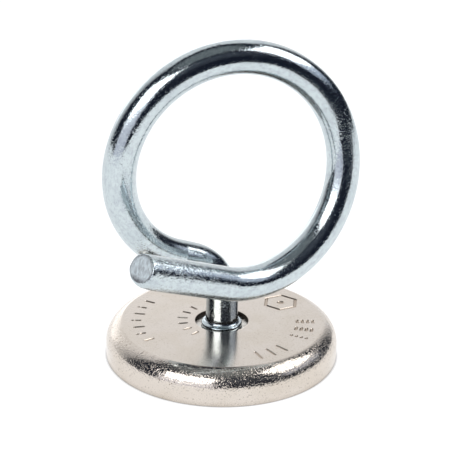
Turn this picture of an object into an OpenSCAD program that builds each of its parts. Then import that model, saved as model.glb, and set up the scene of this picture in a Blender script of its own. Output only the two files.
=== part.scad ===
// Magnet fishing magnet: a pot magnet with a coiled lifting ring that swivels in it.
// Frame: the origin is the centre of the working face, where the pot's rim lies on the
// iron it holds. +Z runs up the shank, the ring stands along X, and its free end is at -Y.

/* [Pot] */
// Outside diameter of the drawn steel pot
pot_d = 67; // [60:1:80]
// Height of the pot
pot_h = 10; // [10:0.5:14]
// Outside radius of the pot's drawn shoulder
shoulder_r = 6; // [3:0.5:6]
// How much of the shoulder's crown is faced off to make the flat top
face_cut = 0.2; // [0:0.05:0.4]
// Thickness of the pot's sheet
sheet_t = 1.3; // [1:0.1:1.5]
// Diameter of the hole in the pot's flat top
pot_hole_d = 15.4; // [14:0.1:17]
// Depth of the stamped marks
mark_depth = 0.3; // [0.1:0.05:0.5]

/* [Magnet and backing plate] */
// Outside diameter of the ferrite ring magnet
magnet_d = 58; // [54:1:60]
// Diameter of the magnet's central well, which holds the nut
magnet_bore_d = 20; // [18:0.5:24]
// How far the magnet's face lies above the rim
magnet_recess = 0.5; // [0.2:0.1:1]
// How far the potting compound's face lies above the rim
potting_recess = 0.9; // [0.5:0.1:1.5]
// Thickness of the adhesive between magnet and backing plate
bond_t = 0.2; // [0.1:0.05:0.3]
// Diameter of the steel backing plate
plate_d = 54; // [48:1:54]
// Thickness of the steel backing plate
plate_t = 1.8; // [1.5:0.1:2]

/* [Ring] */
// Diameter of the round bar
bar_d = 9.3; // [8:0.1:10]
// Coil radius to the bar's centre line, where the free end leaves it
coil_front_r = 28.9; // [26:0.1:30]
// Coil radius to the bar's centre line, where the shank leaves it
coil_back_r = 31.5; // [30:0.1:33]
// How far the coil's centre lies to the free end's side of the shank
coil_offset = 2.3; // [0:0.1:4]
// Height of the coil's centre over the working face
coil_z = 62.2; // [60:0.1:66]
// How far the coil advances towards -Y from its back end to its front end
coil_pitch = 26; // [14:1:30]
// Angle at which the coil's front end starts, counted from +X
coil_start = 257.5; // [250:0.5:265]
// Angle that the coil covers
coil_turn = 351.4; // [345:0.1:355]

/* [Free end] */
// Radius of the tighter bend between the coil and the free end
lead_bend_r = 22; // [15:1:28]
// Angle of the tighter bend
lead_bend = 8.5; // [5:0.5:20]
// Length of the straight free end
lead_len = 28.3; // [20:0.1:35]
// Angle at which the free end leans out of the coil's plane
lead_yaw = 8.3; // [0:0.1:20]

/* [Shank] */
// Radius of the bend from the coil into the shank
shank_bend_r = 15; // [12:0.5:16]
// Diameter of the upset collar
collar_d = 11.7; // [11:0.1:13]
// Thickness of the collar, which stands on the backing plate in the pot's hole
collar_h = 1.2; // [1:0.1:3]
// Radius of the fillet between the collar and the shank
collar_fillet_r = 0.9; // [0.5:0.1:1.2]
// Diameter of the turned tail below the collar, 5/16 in
tail_d = 7.94; // [7.9:0.01:8]
// Radial clearance of the tail in the backing plate
swivel_clearance = 0.06; // [0.02:0.01:0.1]
// Axial play of the collar and the washer against the backing plate
swivel_play = 0.06; // [0.04:0.01:0.15]

/* [Nut and washer] */
// Outside diameter of the thrust washer
washer_d = 16; // [14:0.5:17]
// Thickness of the thrust washer
washer_t = 0.8; // [0.5:0.1:1]
// Width across the flats of the lock nut, 1/2 in
nut_af = 12.7; // [12:0.1:13]
// Overall height of the lock nut
nut_h = 5.2; // [4.8:0.1:5.3]
// Height of the round crown that holds the nylon insert
crown_h = 1.6; // [1.2:0.1:2]

/* [Resolution] */
// Sides of the swept bar
bar_sides = 20; // [12:4:24]
// Degrees of the coil between two rings of the sweep
coil_step = 6.4; // [4:0.2:12]

/* [Hidden] */
$fn = 96;
// Gap between glued or nested pieces, so that their faces don't cross.
fit_gap = 0.02;

pot_r = pot_d / 2;
bar_r = bar_d / 2;
tail_r = tail_d / 2;
plate_top = pot_h - sheet_t;
plate_bottom = plate_top - plate_t;
magnet_top = plate_bottom - bond_t;
collar_bottom = plate_top + swivel_play;
collar_top = collar_bottom + collar_h;
washer_top = plate_bottom - swivel_play;
nut_top = washer_top - washer_t;
nut_bottom = nut_top - nut_h;
tail_bottom = nut_bottom - 0.05;
tail_chamfer = 0.6;
crown_top = nut_bottom + crown_h;
crown_r = 5.6;
insert_r = 4.95;
insert_lip = 0.3;
insert_lip_r = 4.5;

zinc = "#c9d2d8";
nickel = "#d3cdc4";
raw_steel = "#8d8f92";
ferrite = "#3a3a3c";
epoxy = "#24221f";
adhesive = "#6b5d3a";
nylon = "#e9ecef";

function unit(v) = v / norm(v);

// ---- Centre line of the bar, from the free end's tip to the shank ----

coil_centre = [-coil_offset, 0, coil_z];
// Mean slope of the coil along Y, per unit of length.
coil_slope = coil_pitch / (coil_turn * PI / 180 * (coil_front_r + coil_back_r) / 2);

// Unit vector in the ring's XZ plane at angle a from +X, and the one a quarter turn on.
function spoke(a) = [cos(a), 0, sin(a)];
function along(a) = [-sin(a), 0, cos(a)];

// Point on the coil, s running from 0 at its front end to 1 at its back end.
function coil_point(s) =
    coil_centre + (coil_front_r + s * (coil_back_r - coil_front_r)) * spoke(coil_start + s * coil_turn)
    - [0, coil_pitch * (1 - s), 0];

// The tighter bend shares the coil's spoke at the coil's front end. Its Y slope grows
// steadily from the coil's to the free end's.
lead_centre = coil_point(0) - lead_bend_r * spoke(coil_start);
lead_slope = tan(lead_yaw);
lead_arc = lead_bend_r * lead_bend * PI / 180;
function lead_bend_point(s) =
    lead_centre + lead_bend_r * spoke(coil_start - s * lead_bend)
    - [0, lead_arc * (coil_slope * s + (lead_slope - coil_slope) * s * s / 2), 0];
lead_start = lead_bend_point(1);
lead_way = unit(-along(coil_start - lead_bend) - [0, lead_slope, 0]);
free_tip = lead_start + lead_len * lead_way;

// The coil's back end runs on along its tangent, then bends down onto the Z axis.
coil_end = coil_start + coil_turn;
back_end = coil_point(1);
back_way = along(coil_end);
back_reach = -back_end[0] / back_way[0];
shank_corner = back_end + back_reach * back_way;
shank_turn = 90 - asin(-back_way[2]);
shank_tangent = shank_bend_r * tan(shank_turn / 2);
shank_bend_z = shank_corner[2] - shank_tangent;
shank_centre = [-shank_bend_r, 0, shank_bend_z];
function shank_bend_point(s) = shank_centre + shank_bend_r * spoke((1 - s) * shank_turn);
// The sweep ends inside the round shank below the bend, and is a little thinner than it.
sweep_r = bar_r - 0.02;
shank_top = shank_bend_z - 1;
sweep_bottom = shank_top - 1;

coil_rings = ceil(coil_turn / coil_step);
lead_rings = 3;
shank_rings = ceil(shank_turn / coil_step);
bar_path = concat(
    [free_tip],
    [for (i = [lead_rings : -1 : 1]) lead_bend_point(i / lead_rings)],
    [for (i = [0 : coil_rings]) coil_point(i / coil_rings)],
    [for (i = [0 : shank_rings]) shank_bend_point(i / shank_rings)],
    [[0, 0, sweep_bottom]]
);

// ---- Sweep of a round bar along a path ----

function path_way(path, i) =
    unit(path[min(i + 1, len(path) - 1)] - path[max(i - 1, 0)]);

// The path never runs along Y, so Y fixes each ring's turn about the path.
function ring_points(centre, way, r, sides) =
    let (side = unit(cross([0, 1, 0], way)), up = cross(way, side))
    [for (k = [0 : sides - 1])
        centre + r * (cos(k * 360 / sides) * side + sin(k * 360 / sides) * up)];

module sweep(path, r, sides) {
    rings = len(path);
    points = [for (i = [0 : rings - 1]) each ring_points(path[i], path_way(path, i), r, sides)];
    walls = [for (i = [0 : rings - 2], k = [0 : sides - 1])
        let (a = i * sides + k, b = i * sides + (k + 1) % sides)
        each [[a, a + sides, b], [b, a + sides, b + sides]]];
    first_cap = [for (k = [0 : sides - 1]) k];
    last_cap = [for (k = [sides - 1 : -1 : 0]) (rings - 1) * sides + k];
    polyhedron(points, concat(walls, [first_cap, last_cap]), convexity = 8);
}

module tube(outer_r, inner_r, z0, z1) {
    difference() {
        translate([0, 0, z0]) cylinder(r = outer_r, h = z1 - z0);
        translate([0, 0, z0 - 1]) cylinder(r = inner_r, h = z1 - z0 + 2);
    }
}

// ---- Pot ----

// Half section of a round cup's outside: flat top, rounded shoulder, upright wall.
module cup_section(r, h, corner_r) {
    square([r - corner_r, h]);
    square([r, h - corner_r]);
    intersection() {
        translate([r - corner_r, h - corner_r]) circle(r = corner_r);
        square([r, h]);
    }
}

module cavity_section(gap) {
    cup_section(pot_r - sheet_t - gap, pot_h - sheet_t - gap, shoulder_r - sheet_t - gap);
}

// Places a mark at radius r and angle a, with the mark's +X pointing outwards.
module at_polar(r, a) {
    rotate(a) translate([r, 0]) children();
}

module dash(length, width) {
    square([length, width], center = true);
}

// Plain tally marks: seven by the rim and six by the hole on the free end's side, three
// long ones in front, three rows of ticks and a hexagon with a dot on the other side.
module stamped_marks() {
    for (i = [0 : 6])
        at_polar(24.2, 126 + 10.2 * i) {
            dash(i % 2 == 0 ? 3 : 1.6, 0.55);
            if (i % 2 == 1) translate([1.6, 0]) circle(d = 0.55);
        }
    for (i = [0 : 5])
        at_polar(11.4, 111 + 18.5 * i) dash(2.6, 0.5);
    for (i = [0 : 2])
        at_polar(24, -90 + 9.5 * i) dash(4.4, 0.55);
    for (row = [0 : 2], i = [0 : 3])
        at_polar(21.9 + 1.5 * i, -50 + 12 * row) dash(0.6, row == 0 ? 0.8 : 2);
    translate([21.1, 3.8]) difference() {
        circle(r = 5.3, $fn = 6);
        circle(r = 4.6, $fn = 6);
    }
    translate([21.1, 3.8]) circle(r = 0.9);
}

module pot_shell() {
    color(nickel) difference() {
        rotate_extrude() difference() {
            intersection() {
                cup_section(pot_r, pot_h + face_cut, shoulder_r);
                square([pot_r, pot_h]);
            }
            cavity_section(0);
            translate([0, -1]) square([pot_r - sheet_t, 2]);
            square([pot_hole_d / 2, pot_h + 1]);
        }
        translate([0, 0, pot_h - mark_depth]) linear_extrude(mark_depth + 1) stamped_marks();
    }
}

module backing_plate() {
    color(raw_steel) tube(plate_d / 2, tail_r + swivel_clearance, plate_bottom, plate_top);
}

module bond_layer() {
    color(adhesive) tube(plate_d / 2, magnet_bore_d / 2, magnet_top, plate_bottom);
}

module ring_magnet() {
    color(ferrite) tube(magnet_d / 2, magnet_bore_d / 2, magnet_recess, magnet_top);
}

// Fills the space between the magnet's rim, the backing plate's rim and the pot.
module potting_ring() {
    color(epoxy) rotate_extrude() difference() {
        cavity_section(fit_gap);
        square([pot_r, potting_recess]);
        square([magnet_d / 2 + fit_gap, magnet_top + fit_gap]);
        square([plate_d / 2 + fit_gap, pot_h]);
    }
}

// ---- Ring ----

// Concave fillet around a shaft of radius shaft_r, standing on the plane z = 0.
module shaft_fillet(shaft_r, r) {
    rotate_extrude() difference() {
        translate([shaft_r - 0.5, 0]) square([r + 0.5, r]);
        translate([shaft_r + r, r]) circle(r = r);
    }
}

module ring_bar() {
    color(zinc) {
        sweep(bar_path, sweep_r, bar_sides);
        translate([0, 0, collar_bottom]) cylinder(r = bar_r, h = shank_top - collar_bottom);
        translate([0, 0, collar_bottom]) cylinder(d = collar_d, h = collar_top - collar_bottom);
        translate([0, 0, collar_top]) shaft_fillet(bar_r, collar_fillet_r);
        translate([0, 0, tail_bottom + tail_chamfer])
            cylinder(r = tail_r, h = collar_top - tail_bottom - tail_chamfer);
        translate([0, 0, tail_bottom])
            cylinder(r1 = tail_r - tail_chamfer, r2 = tail_r, h = tail_chamfer);
    }
}

// ---- Fasteners on the tail ----

module thrust_washer() {
    color(raw_steel) tube(washer_d / 2, tail_r + 1.5 * fit_gap, nut_top, washer_top);
}

// Hexagon with its corners turned off at the face that bears on the washer.
module nut_hexagon() {
    corner_r = nut_af / 2 / cos(30);
    chamfer = corner_r - nut_af / 2;
    intersection() {
        translate([0, 0, crown_top]) cylinder(r = corner_r, h = nut_top - crown_top, $fn = 6);
        union() {
            translate([0, 0, crown_top]) cylinder(r = corner_r, h = nut_top - crown_top - chamfer / 2);
            translate([0, 0, nut_top - chamfer / 2])
                cylinder(r1 = corner_r, r2 = nut_af / 2, h = chamfer / 2);
        }
    }
}

module lock_nut() {
    color(zinc) difference() {
        union() {
            nut_hexagon();
            translate([0, 0, nut_bottom]) cylinder(r = crown_r, h = crown_h);
        }
        translate([0, 0, nut_bottom - 1]) cylinder(r = tail_r + fit_gap, h = nut_h + 2);
        translate([0, 0, nut_bottom - 1]) cylinder(r = insert_lip_r, h = insert_lip + 1);
        translate([0, 0, nut_bottom + insert_lip]) cylinder(r = insert_r, h = crown_h - insert_lip);
    }
}

module nylon_insert() {
    color(nylon) tube(insert_r - fit_gap, tail_r + fit_gap,
                      nut_bottom + insert_lip + fit_gap, crown_top - fit_gap);
}

pot_shell();
backing_plate();
bond_layer();
ring_magnet();
potting_ring();
ring_bar();
thrust_washer();
lock_nut();
nylon_insert();
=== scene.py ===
import math

import bmesh
import bpy
from mathutils import Matrix, Vector, noise


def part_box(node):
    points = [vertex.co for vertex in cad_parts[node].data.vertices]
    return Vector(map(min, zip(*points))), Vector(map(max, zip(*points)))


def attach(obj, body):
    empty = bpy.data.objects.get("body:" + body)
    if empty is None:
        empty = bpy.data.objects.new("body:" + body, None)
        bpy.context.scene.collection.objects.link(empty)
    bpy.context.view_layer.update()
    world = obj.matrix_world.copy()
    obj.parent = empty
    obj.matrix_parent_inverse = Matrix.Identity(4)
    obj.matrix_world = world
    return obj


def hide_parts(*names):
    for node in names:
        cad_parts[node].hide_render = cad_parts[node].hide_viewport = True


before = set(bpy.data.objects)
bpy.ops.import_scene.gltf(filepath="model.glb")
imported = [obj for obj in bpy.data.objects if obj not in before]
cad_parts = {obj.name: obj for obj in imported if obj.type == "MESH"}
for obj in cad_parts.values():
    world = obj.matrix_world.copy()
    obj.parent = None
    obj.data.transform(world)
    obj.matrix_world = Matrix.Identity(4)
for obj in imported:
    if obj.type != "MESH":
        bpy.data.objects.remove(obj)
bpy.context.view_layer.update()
MM = 0.001


# ---- Sizes, in millimetres and degrees, in the CAD frame ----

def radius_of(node):
    """Outside radius of a CAD node that is round about the Z axis."""
    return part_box(node)[1].x / MM


def bottom_of(node):
    """Height of a CAD node's lowest point."""
    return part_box(node)[0].z / MM


def top_of(node):
    """Height of a CAD node's highest point."""
    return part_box(node)[1].z / MM


# Clearance between nested pieces.
GAP = 0.02

# The pot. Its shoulder is an arc about CORNER_R, faced off at the crown to make the flat top.
POT_R = radius_of("pot_shell")
POT_H = top_of("pot_shell")
POT_HOLE_R = 7.7
SHEET_T = 1.3
SHOULDER_R = 6.0
CORNER_R = POT_R - SHOULDER_R
FACE_CUT = 0.2
FLAT_R = CORNER_R + math.sqrt(SHOULDER_R ** 2 - (SHOULDER_R - FACE_CUT) ** 2)
HOLE_EDGE_R = 0.12
RIM_OUTER_EDGE_R = 0.2
RIM_INNER_EDGE_R = 0.15
POT_SIDES = 256

# The stamped marks, cut by punches that are a little narrower than the mark at their foot and
# MARK_DRAFT wider where they end above the flat top.
MARK_DEPTH = 0.25
MARK_DRAFT = 0.30
MARK_FOOT_SHRINK = 0.06
MARK_WIDTH = 0.55
PUNCH_ABOVE = 0.1
HEXAGON_X = 21.1
HEXAGON_Y = 3.8
HEXAGON_INNER_R = 4.6
HEXAGON_OUTER_R = 5.3
HEXAGON_DOT_R = 0.9
HEXAGON_FOOT_SHRINK = 0.05

# What the pot holds.
PLATE_R = radius_of("backing_plate")
PLATE_BORE_R = 4.03
PLATE_BOTTOM = bottom_of("backing_plate")
PLATE_TOP = top_of("backing_plate")
MAGNET_R = radius_of("ring_magnet")
MAGNET_BORE_R = 10.0
MAGNET_BOTTOM = bottom_of("ring_magnet")
MAGNET_TOP = top_of("ring_magnet")
POTTING_BOTTOM = bottom_of("potting_ring")
POTTING_DISH = 0.35

# The ring's bar: coil, tighter bend and straight free end, and the bend down into the shank.
BAR_R = 4.65
COIL_FRONT_R = 28.9
COIL_BACK_R = 31.5
COIL_CENTRE = Vector((-2.3, 0.0, 62.2))
COIL_PITCH = 26.0
COIL_START = 257.5
COIL_TURN = 351.4
LEAD_BEND_R = 22.0
LEAD_BEND = 8.5
LEAD_LEN = 28.3
LEAD_YAW = 8.3
SHANK_BEND_R = 15.0
BAR_SIDES = 72

# How far the centre line moves sideways for each millimetre along it.
COIL_SLOPE = COIL_PITCH / (math.radians(COIL_TURN) * (COIL_FRONT_R + COIL_BACK_R) / 2)
LEAD_SLOPE = math.tan(math.radians(LEAD_YAW))

# Stretches between rings of the bar's skin, in each part of its centre line.
LEAD_STEPS = 40
LEAD_BEND_STEPS = 8
COIL_STEPS = 380
STRAIGHT_STEPS = 8
SHANK_BEND_STEPS = 36

# The free end. The bender's jaws pinched it, and the shear's blade drew it in and rolled its rim.
PINCHED_LENGTH = 16.0
PINCH_DEPTH = 0.09
WAVE_DEPTH = 0.012
DRAWN_IN = 0.3
DRAWN_IN_LENGTH = 7.0
ROLLED_LENGTH = 3.0
RIM_ROLL_R = 0.35
RIM_ROLL_GAIN = 0.95
RIM_ROLL_STRETCH = 1.5
RIM_TEAR = 0.12
RIM_TURNS = (18, 36, 54, 72, 90)
FACE_INSET = 0.1
FACE_RINGS = 16
RIDGE_DEPTH = 0.06
LUMP_DEPTH = 0.14
# Square to the sheared face, which lies a little aslant to the bar.
CUT_NORMAL = Vector((-0.886, -0.259, 0.385))

# The foot of the shank.
COLLAR_R = 5.85
COLLAR_BOTTOM = PLATE_TOP + 0.06
COLLAR_TOP = COLLAR_BOTTOM + 1.2
COLLAR_FILLET_R = 0.9
COLLAR_TOP_EDGE_R = 0.45
COLLAR_FOOT_EDGE_R = 0.2
TAIL_R = 3.97
TAIL_BOTTOM = bottom_of("ring_bar")
TAIL_CORNER = 0.15
TAIL_CHAMFER = 0.6
# The lathe's centre hole in the tail's end.
CENTRE_HOLE_R = 1.1
CENTRE_HOLE_FOOT_R = 0.8
CENTRE_HOLE_WALL = 0.35
CENTRE_HOLE_DEPTH = 0.5

# Thrust washer, and lock nut with its nylon insert.
WASHER_R = radius_of("thrust_washer")
WASHER_BORE_R = TAIL_R + 0.03
WASHER_BOTTOM = bottom_of("thrust_washer")
WASHER_TOP = top_of("thrust_washer")
NUT_AF = 12.7
NUT_BORE_R = TAIL_R + GAP
NUT_BOTTOM = bottom_of("lock_nut")
NUT_TOP = top_of("lock_nut")
NUT_WASHER_FACE_R = NUT_AF / 2 - 0.15
NUT_CHAMFER = math.radians(30)
NUT_CORNER_EASED_AT = math.radians(29)
NUT_EDGE = 0.12
NUT_SIDES = 120
CROWN_H = 1.6
CROWN_R = 5.6
CROWN_EDGE_R = 0.35
CROWN_TOP = NUT_BOTTOM + CROWN_H
INSERT_R = 4.93
INSERT_LIP = 0.3
INSERT_LIP_R = 4.5


# ---- Directions and camera ----

CAMERA_AZIMUTH = -115.62
CAMERA_ELEVATION = 27.14
CAMERA_ROLL = 0.89
CAMERA_DISTANCE = 0.4615
CAMERA_TARGET = Vector((0.00042, -0.00032, 0.03988))
CAMERA_LENS = 126.0


def direction(azimuth, elevation=0.0):
    """Unit vector at this azimuth from +X and this elevation, in degrees."""
    a = math.radians(azimuth)
    e = math.radians(elevation)
    return Vector((math.cos(a) * math.cos(e), math.sin(a) * math.cos(e), math.sin(e)))


def add_camera():
    camera = bpy.data.objects.new("camera", bpy.data.cameras.new("camera"))
    camera.data.lens = CAMERA_LENS
    camera.data.clip_start = 0.01
    camera.data.clip_end = 20.0
    place = direction(CAMERA_AZIMUTH, CAMERA_ELEVATION) * CAMERA_DISTANCE
    turn = (CAMERA_TARGET - place).to_track_quat("-Z", "Y").to_matrix().to_4x4()
    roll = Matrix.Rotation(math.radians(CAMERA_ROLL), 4, "Z")
    camera.matrix_world = Matrix.Translation(place) @ turn @ roll
    bpy.context.scene.collection.objects.link(camera)
    bpy.context.scene.camera = camera


# ---- Mesh helpers ----

def spoke(degrees):
    """Unit vector in the XZ plane at this angle from +X."""
    a = math.radians(degrees)
    return Vector((math.cos(a), 0.0, math.sin(a)))


def along(degrees):
    """Unit vector in the XZ plane, a quarter turn on from spoke()."""
    a = math.radians(degrees)
    return Vector((-math.sin(a), 0.0, math.cos(a)))


def full_turn(count):
    """This many equal steps round a circle, in radians."""
    return [2 * math.pi * k / count for k in range(count)]


def arc(centre_r, centre_z, radius, start, end, steps):
    """Points (r, z) on an arc of a half section, from angle start to angle end in degrees."""
    angles = [math.radians(start + (end - start) * i / steps) for i in range(steps + 1)]
    return [(centre_r + radius * math.cos(a), centre_z + radius * math.sin(a)) for a in angles]


def around(r, angle, z):
    """Point at this distance from the Z axis."""
    return Vector((r * math.cos(angle), r * math.sin(angle), z))


def turned_rings(profile, sides):
    """One ring of points round the Z axis for each (r, z) of the profile."""
    return [[around(r, a, z) for a in full_turn(sides)] for r, z in profile]


def skin(rings, closed=False):
    """Points and quads that join each ring to the next, and the last to the first if closed."""
    sides = len(rings[0])
    points = [p for ring in rings for p in ring]
    faces = []
    for i in range(len(rings) if closed else len(rings) - 1):
        a = i * sides
        b = ((i + 1) % len(rings)) * sides
        for k in range(sides):
            n = (k + 1) % sides
            faces.append((a + k, a + n, b + n, b + k))
    return points, faces


def close_end(points, faces, first, sides, centre):
    """A fan from the ring that starts at point number first to one centre point."""
    points.append(centre)
    tip = len(points) - 1
    faces.extend((first + k, first + (k + 1) % sides, tip) for k in range(sides))


def add_object(name, data):
    """A new object in the scene, at the origin."""
    thing = bpy.data.objects.new(name, data)
    bpy.context.scene.collection.objects.link(thing)
    return thing


def make_piece(name, points, faces, material, body, node, sharp=35):
    """A mesh piece from points in millimetres, which rides in place of a CAD node."""
    mesh = bpy.data.meshes.new(name)
    mesh.from_pydata([p * MM for p in points], [], faces)
    shell = bmesh.new()
    shell.from_mesh(mesh)
    bmesh.ops.recalc_face_normals(shell, faces=shell.faces)
    shell.to_mesh(mesh)
    shell.free()
    mesh.materials.append(material)
    mesh.shade_smooth()
    mesh.set_sharp_from_angle(angle=math.radians(sharp))
    piece = add_object(name, mesh)
    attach(piece, body)
    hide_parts(node)
    return piece


def turned_piece(name, profile, material, body, node, sides=128):
    """A ring-shaped piece turned from a closed half section."""
    points, faces = skin(turned_rings(profile, sides), closed=True)
    return make_piece(name, points, faces, material, body, node)


# ---- Material helpers ----

def add_node(tree, kind, inputs=(), **settings):
    """A node with its settings made, and each input set to a value or linked to an output."""
    node = tree.nodes.new(kind)
    for key, value in settings.items():
        setattr(node, key, value)
    for key, value in dict(inputs).items():
        if isinstance(value, bpy.types.NodeSocket):
            tree.links.new(value, node.inputs[key])
        else:
            node.inputs[key].default_value = value
    return node


def new_material(name, metallic, specular=0.5):
    material = bpy.data.materials.new(name)
    material.use_nodes = True
    tree = material.node_tree
    shader = tree.nodes["Principled BSDF"]
    shader.inputs["Metallic"].default_value = metallic
    shader.inputs["Specular IOR Level"].default_value = specular
    return material, tree, shader


def object_mm(tree):
    """Position in the object, in millimetres."""
    place = add_node(tree, "ShaderNodeTexCoord").outputs["Object"]
    scaled = add_node(tree, "ShaderNodeVectorMath", {0: place, "Scale": 1 / MM}, operation="SCALE")
    return scaled.outputs["Vector"]


def straight_mm(tree):
    """Position on the bar as if it were straight, with Z along it from its tip."""
    return add_node(tree, "ShaderNodeAttribute", attribute_name="straight").outputs["Vector"]


def component(tree, vector, axis):
    return add_node(tree, "ShaderNodeSeparateXYZ", {"Vector": vector}).outputs[axis]


def radius_mm(tree, place):
    """Distance from the Z axis, in millimetres."""
    flat_parts = {axis: component(tree, place, axis) for axis in ("X", "Y")}
    flat = add_node(tree, "ShaderNodeCombineXYZ", flat_parts).outputs["Vector"]
    return add_node(tree, "ShaderNodeVectorMath", {0: flat}, operation="LENGTH").outputs["Value"]


def stretched(tree, vector, scale):
    return add_node(tree, "ShaderNodeMapping", {"Vector": vector, "Scale": scale}).outputs["Vector"]


def noise_value(tree, vector, scale=1.0, detail=3.0, roughness=0.5):
    inputs = {"Vector": vector, "Scale": scale, "Detail": detail, "Roughness": roughness}
    return add_node(tree, "ShaderNodeTexNoise", inputs).outputs["Fac"]


def remap(tree, value, from_low, from_high, to_low=0.0, to_high=1.0, smooth=False):
    inputs = {
        "Value": value,
        "From Min": from_low,
        "From Max": from_high,
        "To Min": to_low,
        "To Max": to_high,
    }
    kind = "SMOOTHSTEP" if smooth else "LINEAR"
    return add_node(tree, "ShaderNodeMapRange", inputs, interpolation_type=kind).outputs["Result"]


def spots(tree, vector, low, high, smooth=False, **noise_settings):
    """Noise that is 0 below low and 1 above high, which leaves separate spots."""
    return remap(tree, noise_value(tree, vector, **noise_settings), low, high, smooth=smooth)


def maths(tree, operation, first, second=0.0):
    return add_node(tree, "ShaderNodeMath", {0: first, 1: second}, operation=operation).outputs[0]


def times(tree, first, second):
    return maths(tree, "MULTIPLY", first, second)


def plus(tree, first, second):
    return maths(tree, "ADD", first, second)


# Numbers of the Mix node's sockets when it mixes two colours.
MIX_AMOUNT = 0
MIX_FIRST = 6
MIX_SECOND = 7
MIX_RESULT = 2


def with_alpha(colour):
    """An opaque colour from (red, green, blue), or the socket that was given."""
    return (*colour, 1.0) if isinstance(colour, tuple) else colour


def blend_colour(tree, amount, first, second):
    inputs = {MIX_AMOUNT: amount, MIX_FIRST: with_alpha(first), MIX_SECOND: with_alpha(second)}
    return add_node(tree, "ShaderNodeMix", inputs, data_type="RGBA").outputs[MIX_RESULT]


def bump(tree, height, distance, normal=None):
    """Normal from a height of 0 to 1 that stands for this many millimetres."""
    inputs = {"Height": height, "Distance": distance * MM}
    if normal is not None:
        inputs["Normal"] = normal
    return add_node(tree, "ShaderNodeBump", inputs).outputs["Normal"]


def finish_shader(tree, shader, colour, roughness, normal):
    tree.links.new(colour, shader.inputs["Base Color"])
    tree.links.new(roughness, shader.inputs["Roughness"])
    tree.links.new(normal, shader.inputs["Normal"])


# ---- Materials ----

ZINC_LIGHT = (0.575, 0.645, 0.665)
ZINC_DULL = (0.53, 0.60, 0.625)
ZINC_MOTTLED = (0.42, 0.46, 0.51)
ZINC_SPECK = (0.20, 0.23, 0.25)
CUT_LIGHT = (0.80, 0.90, 0.95)
CUT_DULL = (0.42, 0.46, 0.49)
CUT_TORN = (0.16, 0.17, 0.19)
NICKEL_LIGHT = (0.67, 0.612, 0.555)
NICKEL_DULL = (0.635, 0.575, 0.51)
NICKEL_PIT = (0.20, 0.15, 0.11)
# Brown tint for the stamped marks' recesses: painted shade.
MARK_PAINTED_SHADE = (0.36, 0.275, 0.20)
# Near black for the punched hole's wall: partly grime on the bare edge, partly painted shade in the
# gap round the collar.
HOLE_GRIME_AND_SHADE = (0.030, 0.017, 0.008)
PLATE_STEEL = ((0.68, 0.66, 0.62), (0.52, 0.49, 0.45))
NUT_ZINC = ((0.62, 0.66, 0.69), (0.48, 0.51, 0.54))
FERRITE_DARK = (0.030, 0.030, 0.032)
FERRITE_GROUND = (0.060, 0.060, 0.064)
FERRITE_PORE = (0.008, 0.008, 0.009)
NYLON = ((0.80, 0.82, 0.84), (0.70, 0.74, 0.78))
ADHESIVE = ((0.42, 0.36, 0.22), (0.30, 0.25, 0.14))
EPOXY = ((0.020, 0.018, 0.016), (0.035, 0.032, 0.028))

# Where each effect starts to show and where it shows fully, in millimetres: the scuffs from the
# bar's tip, the sheared face's tears from its centre out and down, and the pot's own effects.
SCUFFED_FROM = 34.0
SCUFFED_MOST = 3.0
TORN_RIM_FROM = BAR_R - 0.9
TORN_RIM_MOST = BAR_R - 0.1
TORN_FOOT_FROM = 1.0
TORN_FOOT_MOST = 2.8
PEEL_OUT_FROM = FLAT_R
PEEL_OUT_MOST = FLAT_R + 1.2
PEEL_UP_FROM = POT_H - SHOULDER_R - 0.6
PEEL_UP_MOST = POT_H - SHOULDER_R + 1.4
RIM_WEAR_FROM = 1.6
RIM_WEAR_MOST = 0.2
# Radii over which the hole's wall turns near black, with grime and painted shade.
HOLE_GRIME_AND_SHADE_FROM = POT_HOLE_R + 0.10
HOLE_GRIME_AND_SHADE_MOST = POT_HOLE_R + 0.03
# Depths over which the marks' recesses take the brown painted shade.
MARK_SHADE_FROM = POT_H - 0.03
MARK_SHADE_MOST = POT_H - 0.12
MARKED_FLAT_FROM = FLAT_R - 0.2
MARKED_FLAT_MOST = FLAT_R - 0.4


def bar_zinc():
    """Bright zinc over drawn bar: die lines along it, grain, mottles, specks and a scuffed end."""
    material, tree, shader = new_material("bright_zinc", 1.0)
    straight = straight_mm(tree)
    scuffed = remap(tree, component(tree, straight, "Z"), SCUFFED_FROM, SCUFFED_MOST, smooth=True)
    die_place = stretched(tree, straight, (2.4, 2.4, 0.03))
    die_lines = noise_value(tree, die_place, detail=4.0, roughness=0.6)
    grain = spots(tree, straight, 0.52, 0.80, scale=2.4, detail=1.0)
    scuff_place = stretched(tree, straight, (1.0, 1.0, 0.6))
    scuffs = spots(tree, scuff_place, 0.50, 0.75, scale=1.8, detail=2.0, roughness=0.6)
    haze = spots(tree, straight, 0.42, 0.66, smooth=True, scale=0.16, detail=4.0)
    flecks = spots(tree, straight, 0.52, 0.66, scale=2.6, detail=2.0, roughness=0.55)
    specks = spots(tree, straight, 0.72, 0.76, scale=1.3, detail=2.0, roughness=0.4)
    mottle = noise_value(tree, scuff_place, scale=1.2, detail=5.0, roughness=0.7)
    colour = blend_colour(tree, haze, ZINC_LIGHT, ZINC_DULL)
    colour = blend_colour(tree, remap(tree, mottle, 0.44, 0.70, 0.0, 0.85), colour, ZINC_MOTTLED)
    colour = blend_colour(tree, times(tree, specks, 0.6), colour, ZINC_SPECK)
    roughness = remap(tree, haze, 0.0, 1.0, 0.05, 0.08)
    roughness = plus(tree, roughness, times(tree, flecks, 0.20))
    roughness = plus(tree, roughness, times(tree, scuffed, 0.05))
    normal = bump(tree, die_lines, 0.010)
    normal = bump(tree, grain, 0.022, normal)
    normal = bump(tree, times(tree, scuffs, scuffed), 0.06, normal)
    finish_shader(tree, shader, colour, roughness, normal)
    return material


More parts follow.
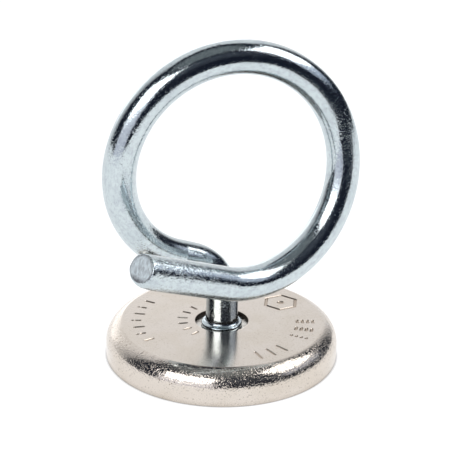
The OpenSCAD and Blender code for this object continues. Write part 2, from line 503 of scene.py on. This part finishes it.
def cut_zinc(centre_z):
    """The sheared face: frosted, with fine striations up it, torn at its rim and at its foot."""
    material, tree, shader = new_material("sheared_zinc", 0.3)
    place = object_mm(tree)
    height = component(tree, place, "Z")
    from_axis = radius_mm(tree, straight_mm(tree))
    streak_place = stretched(tree, place, (1.7, 1.7, 0.28))
    streaks = noise_value(tree, streak_place, detail=5.0, roughness=0.65)
    stain_place = stretched(tree, place, (1.0, 1.0, 0.6))
    stained = spots(tree, stain_place, 0.56, 0.70, smooth=True, scale=0.9)
    rim = remap(tree, from_axis, TORN_RIM_FROM, TORN_RIM_MOST, 0.0, 0.26)
    foot = remap(tree, height, centre_z - TORN_FOOT_FROM, centre_z - TORN_FOOT_MOST, 0.0, 0.42)
    torn = remap(tree, plus(tree, maths(tree, "MAXIMUM", rim, foot), streaks), 0.60, 0.85)
    colour = blend_colour(tree, remap(tree, streaks, 0.36, 0.62), CUT_DULL, CUT_LIGHT)
    colour = blend_colour(tree, times(tree, stained, 0.6), colour, CUT_DULL)
    colour = blend_colour(tree, torn, colour, CUT_TORN)
    roughness = remap(tree, streaks, 0.3, 0.7, 0.36, 0.50)
    finish_shader(tree, shader, colour, roughness, bump(tree, streaks, 0.14))
    return material


def nickel():
    """Nickel over drawn sheet: smooth on the flat, orange peel where the shoulder stretched, with
    painted shade in the stamped marks and a near black hole wall that is grime and painted shade.
    """
    material, tree, shader = new_material("nickel_plate", 1.0)
    place = object_mm(tree)
    height = component(tree, place, "Z")
    radius = radius_mm(tree, place)
    below_flat = remap(tree, radius, PEEL_OUT_FROM, PEEL_OUT_MOST, smooth=True)
    above_wall = remap(tree, height, PEEL_UP_FROM, PEEL_UP_MOST, smooth=True)
    shoulder = times(tree, below_flat, above_wall)
    peel = spots(tree, place, 0.50, 0.76, scale=2.4, detail=1.0)
    fine = noise_value(tree, place, scale=5.0, detail=2.0, roughness=0.6)
    cloud = spots(tree, place, 0.40, 0.64, smooth=True, scale=0.09)
    pits = spots(tree, place, 0.62, 0.70, scale=2.0, detail=2.0)
    pit_share = remap(tree, shoulder, 0.0, 1.0, 0.45, 0.75)
    near_rim = remap(tree, height, RIM_WEAR_FROM, RIM_WEAR_MOST)
    rim_wear = times(tree, near_rim, remap(tree, fine, 0.40, 0.60))
    in_hole = remap(tree, radius, HOLE_GRIME_AND_SHADE_FROM, HOLE_GRIME_AND_SHADE_MOST)
    below_face = remap(tree, height, MARK_SHADE_FROM, MARK_SHADE_MOST)
    on_flat = remap(tree, radius, MARKED_FLAT_FROM, MARKED_FLAT_MOST)
    in_mark = times(tree, below_face, on_flat)
    colour = blend_colour(tree, cloud, NICKEL_LIGHT, NICKEL_DULL)
    colour = blend_colour(tree, times(tree, pits, pit_share), colour, NICKEL_PIT)
    colour = blend_colour(tree, times(tree, rim_wear, 0.4), colour, NICKEL_PIT)
    # Brown painted shade in the stamped marks' recesses.
    colour = blend_colour(tree, times(tree, in_mark, 0.6), colour, MARK_PAINTED_SHADE)
    # Near black hole wall: grime on the punched edge and painted shade in the gap round the collar.
    colour = blend_colour(tree, in_hole, colour, HOLE_GRIME_AND_SHADE)
    roughness = remap(tree, cloud, 0.0, 1.0, 0.14, 0.19)
    roughness = maths(tree, "SUBTRACT", roughness, times(tree, shoulder, 0.08))
    roughness = plus(tree, roughness, times(tree, in_mark, 0.15))
    roughness = maths(tree, "MAXIMUM", roughness, times(tree, in_hole, 0.7))
    tree.links.new(remap(tree, in_hole, 0.0, 1.0, 0.97, 0.0), shader.inputs["Metallic"])
    normal = bump(tree, times(tree, peel, shoulder), 0.04)
    normal = bump(tree, fine, 0.006, normal)
    finish_shader(tree, shader, colour, roughness, normal)
    return material


def turned_steel(name, colours):
    """Machined steel with fine turning rings and a few stains."""
    material, tree, shader = new_material(name, 1.0)
    place = object_mm(tree)
    by_radius = add_node(tree, "ShaderNodeCombineXYZ", {"X": radius_mm(tree, place)})
    rings = noise_value(tree, by_radius.outputs["Vector"], scale=5.0, roughness=0.6)
    stains = spots(tree, place, 0.48, 0.68, smooth=True, scale=0.35, detail=4.0)
    colour = blend_colour(tree, stains, *colours)
    roughness = remap(tree, stains, 0.0, 1.0, 0.24, 0.42)
    finish_shader(tree, shader, colour, roughness, bump(tree, rings, 0.02))
    return material


def sintered_ferrite():
    """Ground ferrite: dark grey, grinding marks one way, tiny dark pores."""
    material, tree, shader = new_material("ferrite", 0.0)
    place = object_mm(tree)
    ground_place = stretched(tree, place, (0.12, 4.0, 1.0))
    grinding = noise_value(tree, ground_place, detail=4.0, roughness=0.6)
    pores = spots(tree, place, 0.66, 0.72, scale=2.2)
    colour = blend_colour(tree, grinding, FERRITE_DARK, FERRITE_GROUND)
    colour = blend_colour(tree, pores, colour, FERRITE_PORE)
    roughness = remap(tree, grinding, 0.3, 0.7, 0.36, 0.52)
    finish_shader(tree, shader, colour, roughness, bump(tree, grinding, 0.02))
    return material


def cast_resin(name, colours, low_roughness, high_roughness):
    """Resin or plastic with a faint flow texture."""
    material, tree, shader = new_material(name, 0.0)
    place = object_mm(tree)
    flow = noise_value(tree, place, scale=0.6)
    dust = noise_value(tree, place, scale=5.0, detail=2.0)
    colour = blend_colour(tree, flow, *colours)
    roughness = remap(tree, flow, 0.3, 0.7, low_roughness, high_roughness)
    normal = bump(tree, flow, 0.10)
    normal = bump(tree, dust, 0.01, normal)
    finish_shader(tree, shader, colour, roughness, normal)
    return material


# ---- Ring bar ----

def coil_point(s):
    """Point on the coil's centre line, s running from 0 at its front end to 1 at its back end."""
    radius = COIL_FRONT_R + s * (COIL_BACK_R - COIL_FRONT_R)
    sideways = Vector((0.0, COIL_PITCH * (1 - s), 0.0))
    return COIL_CENTRE + radius * spoke(COIL_START + s * COIL_TURN) - sideways


def lead_bend_point(s):
    """Point on the tighter bend, s running from 0 at the coil to 1 at the straight free end."""
    length = LEAD_BEND_R * math.radians(LEAD_BEND)
    centre = coil_point(0) - LEAD_BEND_R * spoke(COIL_START)
    sideways = length * (COIL_SLOPE * s + (LEAD_SLOPE - COIL_SLOPE) * s * s / 2)
    return centre + LEAD_BEND_R * spoke(COIL_START - s * LEAD_BEND) - Vector((0.0, sideways, 0.0))


def lead_way():
    """Unit vector from the bend towards the free end's tip."""
    return (-along(COIL_START - LEAD_BEND) - Vector((0.0, LEAD_SLOPE, 0.0))).normalized()


def shank_bend():
    """Centre and angle of the bend that turns the coil's back end down onto the Z axis."""
    back_end = coil_point(1)
    back_way = along(COIL_START + COIL_TURN)
    corner = back_end - back_way * (back_end.x / back_way.x)
    turn = 90 - math.degrees(math.asin(-back_way.z))
    tangent = SHANK_BEND_R * math.tan(math.radians(turn / 2))
    return Vector((-SHANK_BEND_R, 0.0, corner.z - tangent)), turn


def shares(steps):
    """Shares from 0 up to, but without, 1."""
    return [i / steps for i in range(steps)]


def bar_centre_line():
    """Centre line from the free end's tip to the foot of the shank's bend."""
    lead_start = lead_bend_point(1)
    way = lead_way()
    lead = [lead_start + way * (LEAD_LEN * (1 - s)) for s in shares(LEAD_STEPS)]
    lead_bend = [lead_bend_point(1 - s) for s in shares(LEAD_BEND_STEPS)]
    coil = [coil_point(s) for s in shares(COIL_STEPS)]
    coil_end = coil_point(1)
    centre, turn = shank_bend()
    bend_top = centre + SHANK_BEND_R * spoke(turn)
    straight = [coil_end.lerp(bend_top, s) for s in shares(STRAIGHT_STEPS)]
    bend = [centre + SHANK_BEND_R * spoke(turn * (1 - s)) for s in shares(SHANK_BEND_STEPS)]
    bend_foot = centre + SHANK_BEND_R * spoke(0)
    return lead + lead_bend + coil + straight + bend + [bend_foot]


def shank_profile():
    """Half section of the shank's foot: fillet, collar with rounded edges, tail and chamfer."""
    fillet_z = COLLAR_TOP + COLLAR_FILLET_R
    top_edge_r = COLLAR_R - COLLAR_TOP_EDGE_R
    foot_edge_r = COLLAR_R - COLLAR_FOOT_EDGE_R
    return (
        [(BAR_R, fillet_z + 2.0), (BAR_R, fillet_z + 0.3)]
        + arc(BAR_R + COLLAR_FILLET_R, fillet_z, COLLAR_FILLET_R, 180, 270, 8)
        + arc(top_edge_r, COLLAR_TOP - COLLAR_TOP_EDGE_R, COLLAR_TOP_EDGE_R, 90, 0, 8)
        + arc(foot_edge_r, COLLAR_BOTTOM + COLLAR_FOOT_EDGE_R, COLLAR_FOOT_EDGE_R, 0, -90, 4)
        + [(TAIL_R + TAIL_CORNER, COLLAR_BOTTOM), (TAIL_R, COLLAR_BOTTOM - TAIL_CORNER)]
        + [(TAIL_R, TAIL_BOTTOM + TAIL_CHAMFER), (TAIL_R - TAIL_CHAMFER, TAIL_BOTTOM)]
        + [(CENTRE_HOLE_R, TAIL_BOTTOM), (CENTRE_HOLE_FOOT_R, TAIL_BOTTOM + CENTRE_HOLE_WALL)]
    )


def pinch_depth(length, angle):
    """How far the jaws pressed the bar in, this far from the tip and at this angle round it."""
    fade = max(0.0, 1 - length / PINCHED_LENGTH)
    out = math.cos(angle)
    up = math.sin(angle)
    dents = noise.noise(Vector((length * 0.30, out * 1.4, up * 1.4 + 5)))
    waves = noise.noise(Vector((length * 0.10, out * 0.7, up * 0.7)))
    return PINCH_DEPTH * fade * max(0.0, dents) + WAVE_DEPTH * (waves + 1)


def pressed_share(angle):
    """1 at the lower front of the bar, where the shear's blade pressed in, and 0 over its top."""
    return max(0.0, math.cos(angle + math.radians(20)))


def side_radius(length, angle):
    """The bar's radius, less what the jaws pinched and what the blade drew in near the tip."""
    fade = max(0.0, 1 - length / DRAWN_IN_LENGTH)
    return BAR_R - pinch_depth(length, angle) - DRAWN_IN * pressed_share(angle) * fade * fade


def face_relief(across, height):
    """Relief of the sheared face, with ridges that run up it."""
    ridges = noise.noise(Vector((across * 2.6, height * 0.30, 3.0)))
    lumps = noise.noise(Vector((across * 0.5, height * 0.5, 9.0)))
    return RIDGE_DEPTH * ridges + LUMP_DEPTH * lumps


def end_point(way, outward, backward, share, turn, angle):
    """For one point of the sheared end, its way out from the bar's axis and how far back it lies.

    Share runs from 0 at the face's centre to 1 at its rim, and turn is how far round its roll.
    """
    roll_r = RIM_ROLL_R + RIM_ROLL_GAIN * pressed_share(angle)
    r = (side_radius(0.0, angle) - roll_r) * share + roll_r * math.sin(turn)
    arm = r * (math.cos(angle) * outward + math.sin(angle) * backward)
    near_rim = share ** 6
    rolled = RIM_ROLL_STRETCH * roll_r * (1 - math.cos(turn))
    relief = face_relief(arm.dot(backward), arm.z) * (1 - near_rim)
    tears = RIM_TEAR * noise.noise(Vector((math.cos(angle) * 4.0, math.sin(angle) * 4.0, 1.0)))
    back = max(0.0, FACE_INSET + rolled - relief + tears * (near_rim * math.cos(turn)))
    back -= arm.dot(CUT_NORMAL) / way.dot(CUT_NORMAL)
    return arm, back


def sheared_end(tip, way, outward, backward, angles):
    """Rings over the sheared face and its rolled rim, and where they lie on a straight bar."""
    face_steps = [((i + 1) / FACE_RINGS, 0.0) for i in range(FACE_RINGS)]
    roll_steps = [(1.0, math.radians(turn)) for turn in RIM_TURNS]
    rings = []
    straight = []
    for share, turn in face_steps + roll_steps:
        ends = [end_point(way, outward, backward, share, turn, a) for a in angles]
        rings.append([tip + arm + way * back for arm, back in ends])
        straight.append([around(share * BAR_R, a, back) for a, (arm, back) in zip(angles, ends)])
    return rings, straight


def bent_rings(line, angles):
    """Rings along the centre line, where they lie on a straight bar, and the line's length."""
    rings = []
    straight = []
    run = 0.0
    for i, centre in enumerate(line):
        way = (line[min(i + 1, len(line) - 1)] - line[max(i - 1, 0)]).normalized()
        outward = Vector((0, 1, 0)).cross(way).normalized()
        backward = way.cross(outward)
        if i == 0:
            rings, straight = sheared_end(centre, way, outward, backward, angles)
            continue
        run += (centre - line[i - 1]).length
        if run < ROLLED_LENGTH:
            continue
        arms = [math.cos(a) * outward + math.sin(a) * backward for a in angles]
        rings.append([centre + side_radius(run, a) * arm for a, arm in zip(angles, arms)])
        straight.append([around(BAR_R, a, run) for a in angles])
    return rings, straight, run


def ring_bar():
    """The bar as one skin: sheared face, free end, coil, shank, collar and tail."""
    angles = full_turn(BAR_SIDES)
    line = bar_centre_line()
    rings, straight, run = bent_rings(line, angles)
    length = run + line[-1].z
    for r, z in shank_profile():
        rings.append([Vector((-r * math.cos(a), r * math.sin(a), z)) for a in angles])
        straight.append([around(r, a, length - z) for a in angles])
    points, faces = skin(rings)
    face_centre = sum(rings[0], Vector()) / BAR_SIDES
    tail_centre = Vector((0, 0, TAIL_BOTTOM + CENTRE_HOLE_DEPTH))
    close_end(points, faces, 0, BAR_SIDES, face_centre)
    close_end(points, faces, (len(rings) - 1) * BAR_SIDES, BAR_SIDES, tail_centre)
    piece = make_piece("ring_bar_piece", points, faces, bar_zinc(), "ring", "ring_bar", sharp=40)
    places = [place for ring in straight for place in ring]
    places += [Vector((0, 0, 0)), Vector((0, 0, length))]
    attribute = piece.data.attributes.new("straight", "FLOAT_VECTOR", "POINT")
    attribute.data.foreach_set("vector", [x for place in places for x in place])
    piece.data.materials.append(cut_zinc(line[0].z))
    face_points = FACE_RINGS * BAR_SIDES
    centre_point = len(points) - 2
    for polygon in piece.data.polygons:
        on_face = all(v < face_points or v == centre_point for v in polygon.vertices)
        polygon.material_index = 1 if on_face else 0


# ---- Pot and its stamped marks ----

def grown_dash(x, y, turn, length, width, grow):
    """Outline of a dash with round ends, whose longer side is its length or its width."""
    if width > length:
        return grown_dash(x, y, turn + math.pi / 2, width, length, grow)
    end_r = width / 2 + grow
    reach = (length - width) / 2 + 0.05
    outline = []
    for side in (1, -1):
        for step in range(7):
            a = math.radians(-90 + 30 * step)
            outline.append(side * Vector((reach + end_r * math.cos(a), end_r * math.sin(a))))
    return [Vector((x, y)) + Matrix.Rotation(turn, 2) @ p for p in outline]


def grown_polygon(x, y, radius, sides, grow):
    r = radius + grow
    return [Vector((x + r * math.cos(a), y + r * math.sin(a))) for a in full_turn(sides)]


def dash_at(radius, degrees, length, width):
    """Outline maker for a dash that points outwards from the pot's centre."""
    a = math.radians(degrees)
    x = radius * math.cos(a)
    y = radius * math.sin(a)
    return lambda grow: grown_dash(x, y, a, length, width, grow)


def dot_at(radius, degrees, diameter):
    a = math.radians(degrees)
    x = radius * math.cos(a)
    y = radius * math.sin(a)
    return lambda grow: grown_polygon(x, y, diameter / 2, 16, grow)


def stamped_marks():
    """Outline makers of the plain tally marks, at the CAD model's places."""
    marks = []
    for i in range(7):
        degrees = 126 + 10.2 * i
        marks.append(dash_at(24.2, degrees, 3.0 if i % 2 == 0 else 1.6, MARK_WIDTH))
        if i % 2 == 1:
            marks.append(dot_at(25.8, degrees, MARK_WIDTH))
    marks += [dash_at(11.4, 111 + 18.5 * i, 2.6, 0.5) for i in range(6)]
    marks += [dash_at(24.0, -90 + 9.5 * i, 4.4, MARK_WIDTH) for i in range(3)]
    for row in range(3):
        tick = 0.8 if row == 0 else 2.0
        marks += [dash_at(21.9 + 1.5 * i, -50 + 12 * row, 0.6, tick) for i in range(4)]
    marks.append(lambda grow: grown_polygon(HEXAGON_X, HEXAGON_Y, HEXAGON_DOT_R, 20, grow))
    return marks


def join_loops(shell, loops):
    """Corners of the loops, with faces between each loop and the next."""
    rings = [[shell.verts.new(p) for p in loop] for loop in loops]
    for lower, upper in zip(rings, rings[1:]):
        for k in range(len(lower)):
            n = (k + 1) % len(lower)
            shell.faces.new((lower[k], lower[n], upper[n], upper[k]))
    return rings


def at_height(outline, z):
    """Points in metres from an outline in millimetres."""
    return [(p.x * MM, p.y * MM, z * MM) for p in outline]


def add_punch(shell, outline, foot, above):
    """A solid punch in the outline's shape, wider above than at its foot."""
    foot_loop = at_height(outline(-MARK_FOOT_SHRINK), foot)
    above_loop = at_height(outline(MARK_DRAFT), above)
    rings = join_loops(shell, [foot_loop, above_loop])
    shell.faces.new(rings[0])
    shell.faces.new(rings[-1])


def add_hexagon_punch(shell, foot, above):
    """A punch for the hexagon's line, closed in a ring."""
    corners = (
        (HEXAGON_INNER_R, HEXAGON_FOOT_SHRINK, foot),
        (HEXAGON_OUTER_R, -HEXAGON_FOOT_SHRINK, foot),
        (HEXAGON_OUTER_R, MARK_DRAFT, above),
        (HEXAGON_INNER_R, -MARK_DRAFT, above),
    )
    rings = join_loops(shell, [
        at_height(grown_polygon(HEXAGON_X, HEXAGON_Y, radius, 6, grow), z)
        for radius, grow, z in corners
    ])
    for k in range(6):
        n = (k + 1) % 6
        shell.faces.new((rings[3][k], rings[3][n], rings[0][n], rings[0][k]))


def mark_cutter():
    """One object with all the punches of the stamped marks."""
    foot = POT_H - MARK_DEPTH
    above = POT_H + PUNCH_ABOVE
    shell = bmesh.new()
    for outline in stamped_marks():
        add_punch(shell, outline, foot, above)
    add_hexagon_punch(shell, foot, above)
    bmesh.ops.recalc_face_normals(shell, faces=shell.faces)
    mesh = bpy.data.meshes.new("punches")
    shell.to_mesh(mesh)
    shell.free()
    return add_object("punches", mesh)


def pot_profile():
    """Closed half section of the drawn pot, from the hole's top edge round to its lower edge.

    The points close to each edge keep the shading of the flat top and the wall even.
    """
    crown_z = POT_H + FACE_CUT - SHOULDER_R
    face_angle = math.degrees(math.acos((FLAT_R - CORNER_R) / SHOULDER_R))
    inner_edge_r = POT_R - SHEET_T + RIM_INNER_EDGE_R
    return (
        arc(POT_HOLE_R + HOLE_EDGE_R, POT_H - HOLE_EDGE_R, HOLE_EDGE_R, 180, 90, 4)
        + [(POT_HOLE_R + 0.5, POT_H), (FLAT_R - 0.2, POT_H)]
        + arc(CORNER_R, crown_z, SHOULDER_R, face_angle, 0, 40)
        + [(POT_R, 2.5), (POT_R, 1.0)]
        + arc(POT_R - RIM_OUTER_EDGE_R, RIM_OUTER_EDGE_R, RIM_OUTER_EDGE_R, 0, -90, 5)
        + arc(inner_edge_r, RIM_INNER_EDGE_R, RIM_INNER_EDGE_R, -90, -180, 4)
        + arc(CORNER_R, POT_H - SHOULDER_R, SHOULDER_R - SHEET_T, 0, 90, 16)
        + [(POT_HOLE_R + 0.1, PLATE_TOP), (POT_HOLE_R, PLATE_TOP + 0.1)]
    )


def pot_shell():
    """The drawn pot with its marks cut in, shaded so that the flat top stays flat."""
    points, faces = skin(turned_rings(pot_profile(), POT_SIDES), closed=True)
    piece = make_piece("pot_shell_piece", points, faces, nickel(), "pot", "pot_shell")
    cutter = mark_cutter()
    carve = piece.modifiers.new("marks", "BOOLEAN")
    carve.operation = "DIFFERENCE"
    carve.solver = "EXACT"
    carve.object = cutter
    bpy.context.view_layer.update()
    evaluated = piece.evaluated_get(bpy.context.evaluated_depsgraph_get())
    carved = bpy.data.meshes.new_from_object(evaluated)
    piece.modifiers.clear()
    piece.data = carved
    bpy.data.objects.remove(cutter)
    carved.set_sharp_from_angle(angle=math.radians(12))
    weighted = piece.modifiers.new("flat_faces", "WEIGHTED_NORMAL")
    weighted.keep_sharp = True
    weighted.weight = 100


# ---- What the pot holds, washer, nut and insert ----

def rounded_section(inner_r, outer_r, bottom, top, edge):
    """Closed half section of a flat ring with a rounded edge at each corner."""
    return (
        arc(inner_r + edge, bottom + edge, edge, 180, 270, 3)
        + arc(outer_r - edge, bottom + edge, edge, 270, 360, 3)
        + arc(outer_r - edge, top - edge, edge, 0, 90, 3)
        + arc(inner_r + edge, top - edge, edge, 90, 180, 3)
    )


def potting_profile():
    """Closed half section of the cast resin, its face dished between magnet and pot."""
    inner = MAGNET_R + GAP
    span = POT_R - SHEET_T - GAP - inner
    steps = 10
    face = [
        (inner + span * i / steps, POTTING_BOTTOM + POTTING_DISH * math.sin(math.pi * i / steps))
        for i in range(steps + 1)
    ]
    roof = arc(CORNER_R, POT_H - SHOULDER_R, SHOULDER_R - SHEET_T - GAP, 0, 90, 12)
    over_plate = [(PLATE_R + GAP, PLATE_TOP - GAP), (PLATE_R + GAP, MAGNET_TOP + GAP)]
    return face + roof + over_plate + [(inner, MAGNET_TOP + GAP)]


def hexagon_radius(angle):
    """Distance from the nut's axis to its wall, with the corners eased."""
    sixth = math.pi / 3
    off_flat = abs((angle + sixth / 2) % sixth - sixth / 2)
    return NUT_AF / 2 / math.cos(min(off_flat, NUT_CORNER_EASED_AT))


def crown_profile():
    """Half section of the crown, from the bore over the insert's seat and round the outside."""
    seat_r = INSERT_R + GAP
    lip_z = NUT_BOTTOM + INSERT_LIP
    return (
        [(NUT_BORE_R, lip_z + 1.4), (seat_r, lip_z + 1.28)]
        + [(seat_r, lip_z), (INSERT_LIP_R, NUT_BOTTOM + INSERT_LIP * 0.8)]
        + [(INSERT_LIP_R + 0.15, NUT_BOTTOM)]
        + arc(CROWN_R - CROWN_EDGE_R, NUT_BOTTOM + CROWN_EDGE_R, CROWN_EDGE_R, 270, 360, 4)
        + [(CROWN_R, CROWN_TOP - 0.25), (CROWN_R + 0.25, CROWN_TOP)]
    )


def hexagon_rings():
    """Rings up the nut's wall and over the chamfer that turns its corners off."""
    angles = full_turn(NUT_SIDES)
    walls = [hexagon_radius(a) for a in angles]
    chamfers = [(r - NUT_WASHER_FACE_R) * math.tan(NUT_CHAMFER) for r in walls]
    levels = (
        [(r - NUT_EDGE, CROWN_TOP) for r in walls],
        [(r, CROWN_TOP + NUT_EDGE) for r in walls],
        [(r, NUT_TOP - chamfer) for r, chamfer in zip(walls, chamfers)],
        [(NUT_WASHER_FACE_R, NUT_TOP) for r in walls],
    )
    return [[around(r, a, z) for a, (r, z) in zip(angles, level)] for level in levels]


def lock_nut():
    """Hexagon with its corners turned off, and the round crown that is rolled over the insert."""
    bore_edge = [(NUT_BORE_R + 0.3, NUT_TOP), (NUT_BORE_R, NUT_TOP - 0.3)]
    rings = turned_rings(crown_profile(), NUT_SIDES) + hexagon_rings()
    rings += turned_rings(bore_edge, NUT_SIDES)
    points, faces = skin(rings, closed=True)
    material = turned_steel("zinc_nut", NUT_ZINC)
    make_piece("lock_nut_piece", points, faces, material, "ring", "lock_nut", sharp=25)


def held_pieces():
    """The pieces inside the pot and on the ring's tail, apart from the nut."""
    steel = turned_steel("mild_steel", PLATE_STEEL)
    nylon = cast_resin("nylon", NYLON, 0.35, 0.5)
    film = cast_resin("adhesive", ADHESIVE, 0.4, 0.6)
    epoxy = cast_resin("potting_epoxy", EPOXY, 0.12, 0.30)
    ferrite = sintered_ferrite()
    insert_bottom = NUT_BOTTOM + INSERT_LIP + GAP
    plate = rounded_section(PLATE_BORE_R, PLATE_R, PLATE_BOTTOM, PLATE_TOP, 0.12)
    bond = rounded_section(MAGNET_BORE_R, PLATE_R, MAGNET_TOP, PLATE_BOTTOM, 0.05)
    magnet = rounded_section(MAGNET_BORE_R, MAGNET_R, MAGNET_BOTTOM, MAGNET_TOP, 0.3)
    washer = rounded_section(WASHER_BORE_R, WASHER_R, WASHER_BOTTOM, WASHER_TOP, 0.1)
    insert = rounded_section(NUT_BORE_R, INSERT_R, insert_bottom, CROWN_TOP - GAP, 0.15)
    turned_piece("backing_plate_piece", plate, steel, "pot", "backing_plate")
    turned_piece("bond_layer_piece", bond, film, "pot", "bond_layer")
    turned_piece("ring_magnet_piece", magnet, ferrite, "pot", "ring_magnet", sides=192)
    turned_piece("potting_ring_piece", potting_profile(), epoxy, "pot", "potting_ring", sides=192)
    turned_piece("thrust_washer_piece", washer, steel, "ring", "thrust_washer")
    turned_piece("nylon_insert_piece", insert, nylon, "ring", "nylon_insert")


# ---- Floor, lights and surroundings, in metres and degrees ----

# The table lies along this azimuth, its front edge near the object.
TABLE_AZIMUTH = -115.0
TABLE_FRONT = 0.21
TABLE_BACK = 1.8
TABLE_SIDE = 1.6
TABLE_GREY = (0.46, 0.46, 0.46)
TABLE_GLOW = 0.83
CONTACT_SHADE_REACH = 0.7 * MM

# Name, azimuth, elevation, distance, width, height and power in watts.
SOFTBOXES = (
    ("softbox_left", -149, 32, 0.90, 0.72, 0.48, 3.6),
    ("softbox_right", -24, 46.5, 0.90, 0.68, 0.47, 3.1),
)
SOFTBOX_AIM = Vector((0, 0, 0.05))

# Azimuth, elevation, half width, half height, softness across, softness up, then the colour.
SKY_PATCHES = (
    (75, 10, 45, 48, 14, 3, (0.30, 0.30, 0.30)),
    (87, 10, 53, 48, 9, 3, (0.64, 0.64, 0.64)),
    (87, 2, 25, 18, 7, 8, (0.80, 0.80, 0.80)),
    (-149, -4, 27, 22, 2, 6, (0.74, 0.74, 0.82)),
    (-149, 14, 26, 8, 2, 8, (0.45, 0.45, 0.43)),
    (-25, 25, 26, 7, 6, 3, (0.56, 0.60, 0.70)),
    (-98, 36, 26, 14, 16, 12, (0.055, 0.060, 0.068)),
)
SKY_DARK = (0.011, 0.015, 0.027)
SKY_OVERHEAD = (0.20, 0.22, 0.23)
OVERHEAD_WAY = Vector((-0.09, -0.15, 0.98))
BLACK = (0.0, 0.0, 0.0)
WHITE = (1.0, 1.0, 1.0)


def table_white():
    """Pale matt white, see-through from below, with a thin shade where something touches it."""
    material, tree, shader = new_material("floor_white", 0.0, 0.0)
    shader.inputs["Base Color"].default_value = with_alpha(TABLE_GREY)
    shader.inputs["Roughness"].default_value = 1.0
    shader.inputs["Emission Color"].default_value = with_alpha(WHITE)
    shade_inputs = {"Distance": CONTACT_SHADE_REACH}
    near_shade = add_node(tree, "ShaderNodeAmbientOcclusion", shade_inputs).outputs["AO"]
    tree.links.new(times(tree, near_shade, TABLE_GLOW), shader.inputs["Emission Strength"])
    from_below = add_node(tree, "ShaderNodeNewGeometry").outputs["Backfacing"]
    see_through = tree.nodes.new("ShaderNodeBsdfTransparent").outputs[0]
    sides = {0: from_below, 1: shader.outputs[0], 2: see_through}
    surface = add_node(tree, "ShaderNodeMixShader", sides).outputs[0]
    tree.links.new(surface, tree.nodes["Material Output"].inputs["Surface"])
    return material


def add_floor():
    """A white table top whose front edge is near the object."""
    toward = direction(TABLE_AZIMUTH)
    side = Vector((-toward.y, toward.x, 0))
    corners = [
        toward * TABLE_FRONT - side * TABLE_SIDE,
        toward * TABLE_FRONT + side * TABLE_SIDE,
        -toward * TABLE_BACK + side * TABLE_SIDE,
        -toward * TABLE_BACK - side * TABLE_SIDE,
    ]
    mesh = bpy.data.meshes.new("floor")
    mesh.from_pydata(corners, [], [(0, 1, 2, 3)])
    mesh.materials.append(table_white())
    add_object("floor", mesh)


def add_softbox(name, azimuth, elevation, distance, width, height, power):
    """An area light that faces the object from this direction."""
    way = direction(azimuth, elevation)
    light = bpy.data.lights.new(name, "AREA")
    light.shape = "RECTANGLE"
    light.size = width
    light.size_y = height
    light.energy = power
    lamp = add_object(name, light)
    turn = way.to_track_quat("Z", "Y").to_matrix().to_4x4()
    lamp.matrix_world = Matrix.Translation(SOFTBOX_AIM + way * distance) @ turn
    lamp.visible_camera = False


def patch_share(tree, off_centre, half, soft):
    """1 within this half extent of a patch's centre and 0 outside it, with a soft edge."""
    off = maths(tree, "ABSOLUTE", off_centre)
    return remap(tree, off, math.radians(half + soft), math.radians(half - soft), smooth=True)


def patch_glow(tree, azimuth, elevation, patch):
    """Light of one patch of the studio, seen in the direction of these two sockets."""
    patch_azimuth, patch_elevation, half_width, half_height, soft_across, soft_up, light = patch
    across = maths(tree, "SUBTRACT", azimuth, math.radians(patch_azimuth))
    wrap_inputs = {0: across, 1: -math.pi, 2: math.pi}
    wrapped = add_node(tree, "ShaderNodeMath", wrap_inputs, operation="WRAP").outputs[0]
    up = maths(tree, "SUBTRACT", elevation, math.radians(patch_elevation))
    in_width = patch_share(tree, wrapped, half_width, soft_across)
    in_height = patch_share(tree, up, half_height, soft_up)
    return blend_colour(tree, times(tree, in_width, in_height), BLACK, light)


def add_surroundings():
    """A dark studio with lit patches; the camera itself sees plain white."""
    world = bpy.data.worlds.new("studio")
    world.use_nodes = True
    tree = world.node_tree
    way = add_node(tree, "ShaderNodeTexCoord").outputs["Generated"]
    azimuth = maths(tree, "ARCTAN2", component(tree, way, "Y"), component(tree, way, "X"))
    elevation = maths(tree, "ARCSINE", component(tree, way, "Z"))
    toward_top = {0: way, 1: OVERHEAD_WAY}
    overhead = add_node(tree, "ShaderNodeVectorMath", toward_top, operation="DOT_PRODUCT")
    high = remap(tree, overhead.outputs["Value"], 0.86, 0.95, smooth=True)
    colour = blend_colour(tree, high, SKY_DARK, SKY_OVERHEAD)
    for patch in SKY_PATCHES:
        both = {0: colour, 1: patch_glow(tree, azimuth, elevation, patch)}
        colour = add_node(tree, "ShaderNodeVectorMath", both, operation="ADD").outputs["Vector"]
    seen = add_node(tree, "ShaderNodeLightPath").outputs["Is Camera Ray"]
    colour = blend_colour(tree, seen, colour, WHITE)
    tree.links.new(colour, tree.nodes["Background"].inputs["Color"])
    bpy.context.scene.world = world


def add_stage():
    add_floor()
    for softbox in SOFTBOXES:
        add_softbox(*softbox)
    add_surroundings()
    bpy.context.scene.view_settings.view_transform = "Standard"


add_camera()
ring_bar()
pot_shell()
held_pieces()
lock_nut()
add_stage()
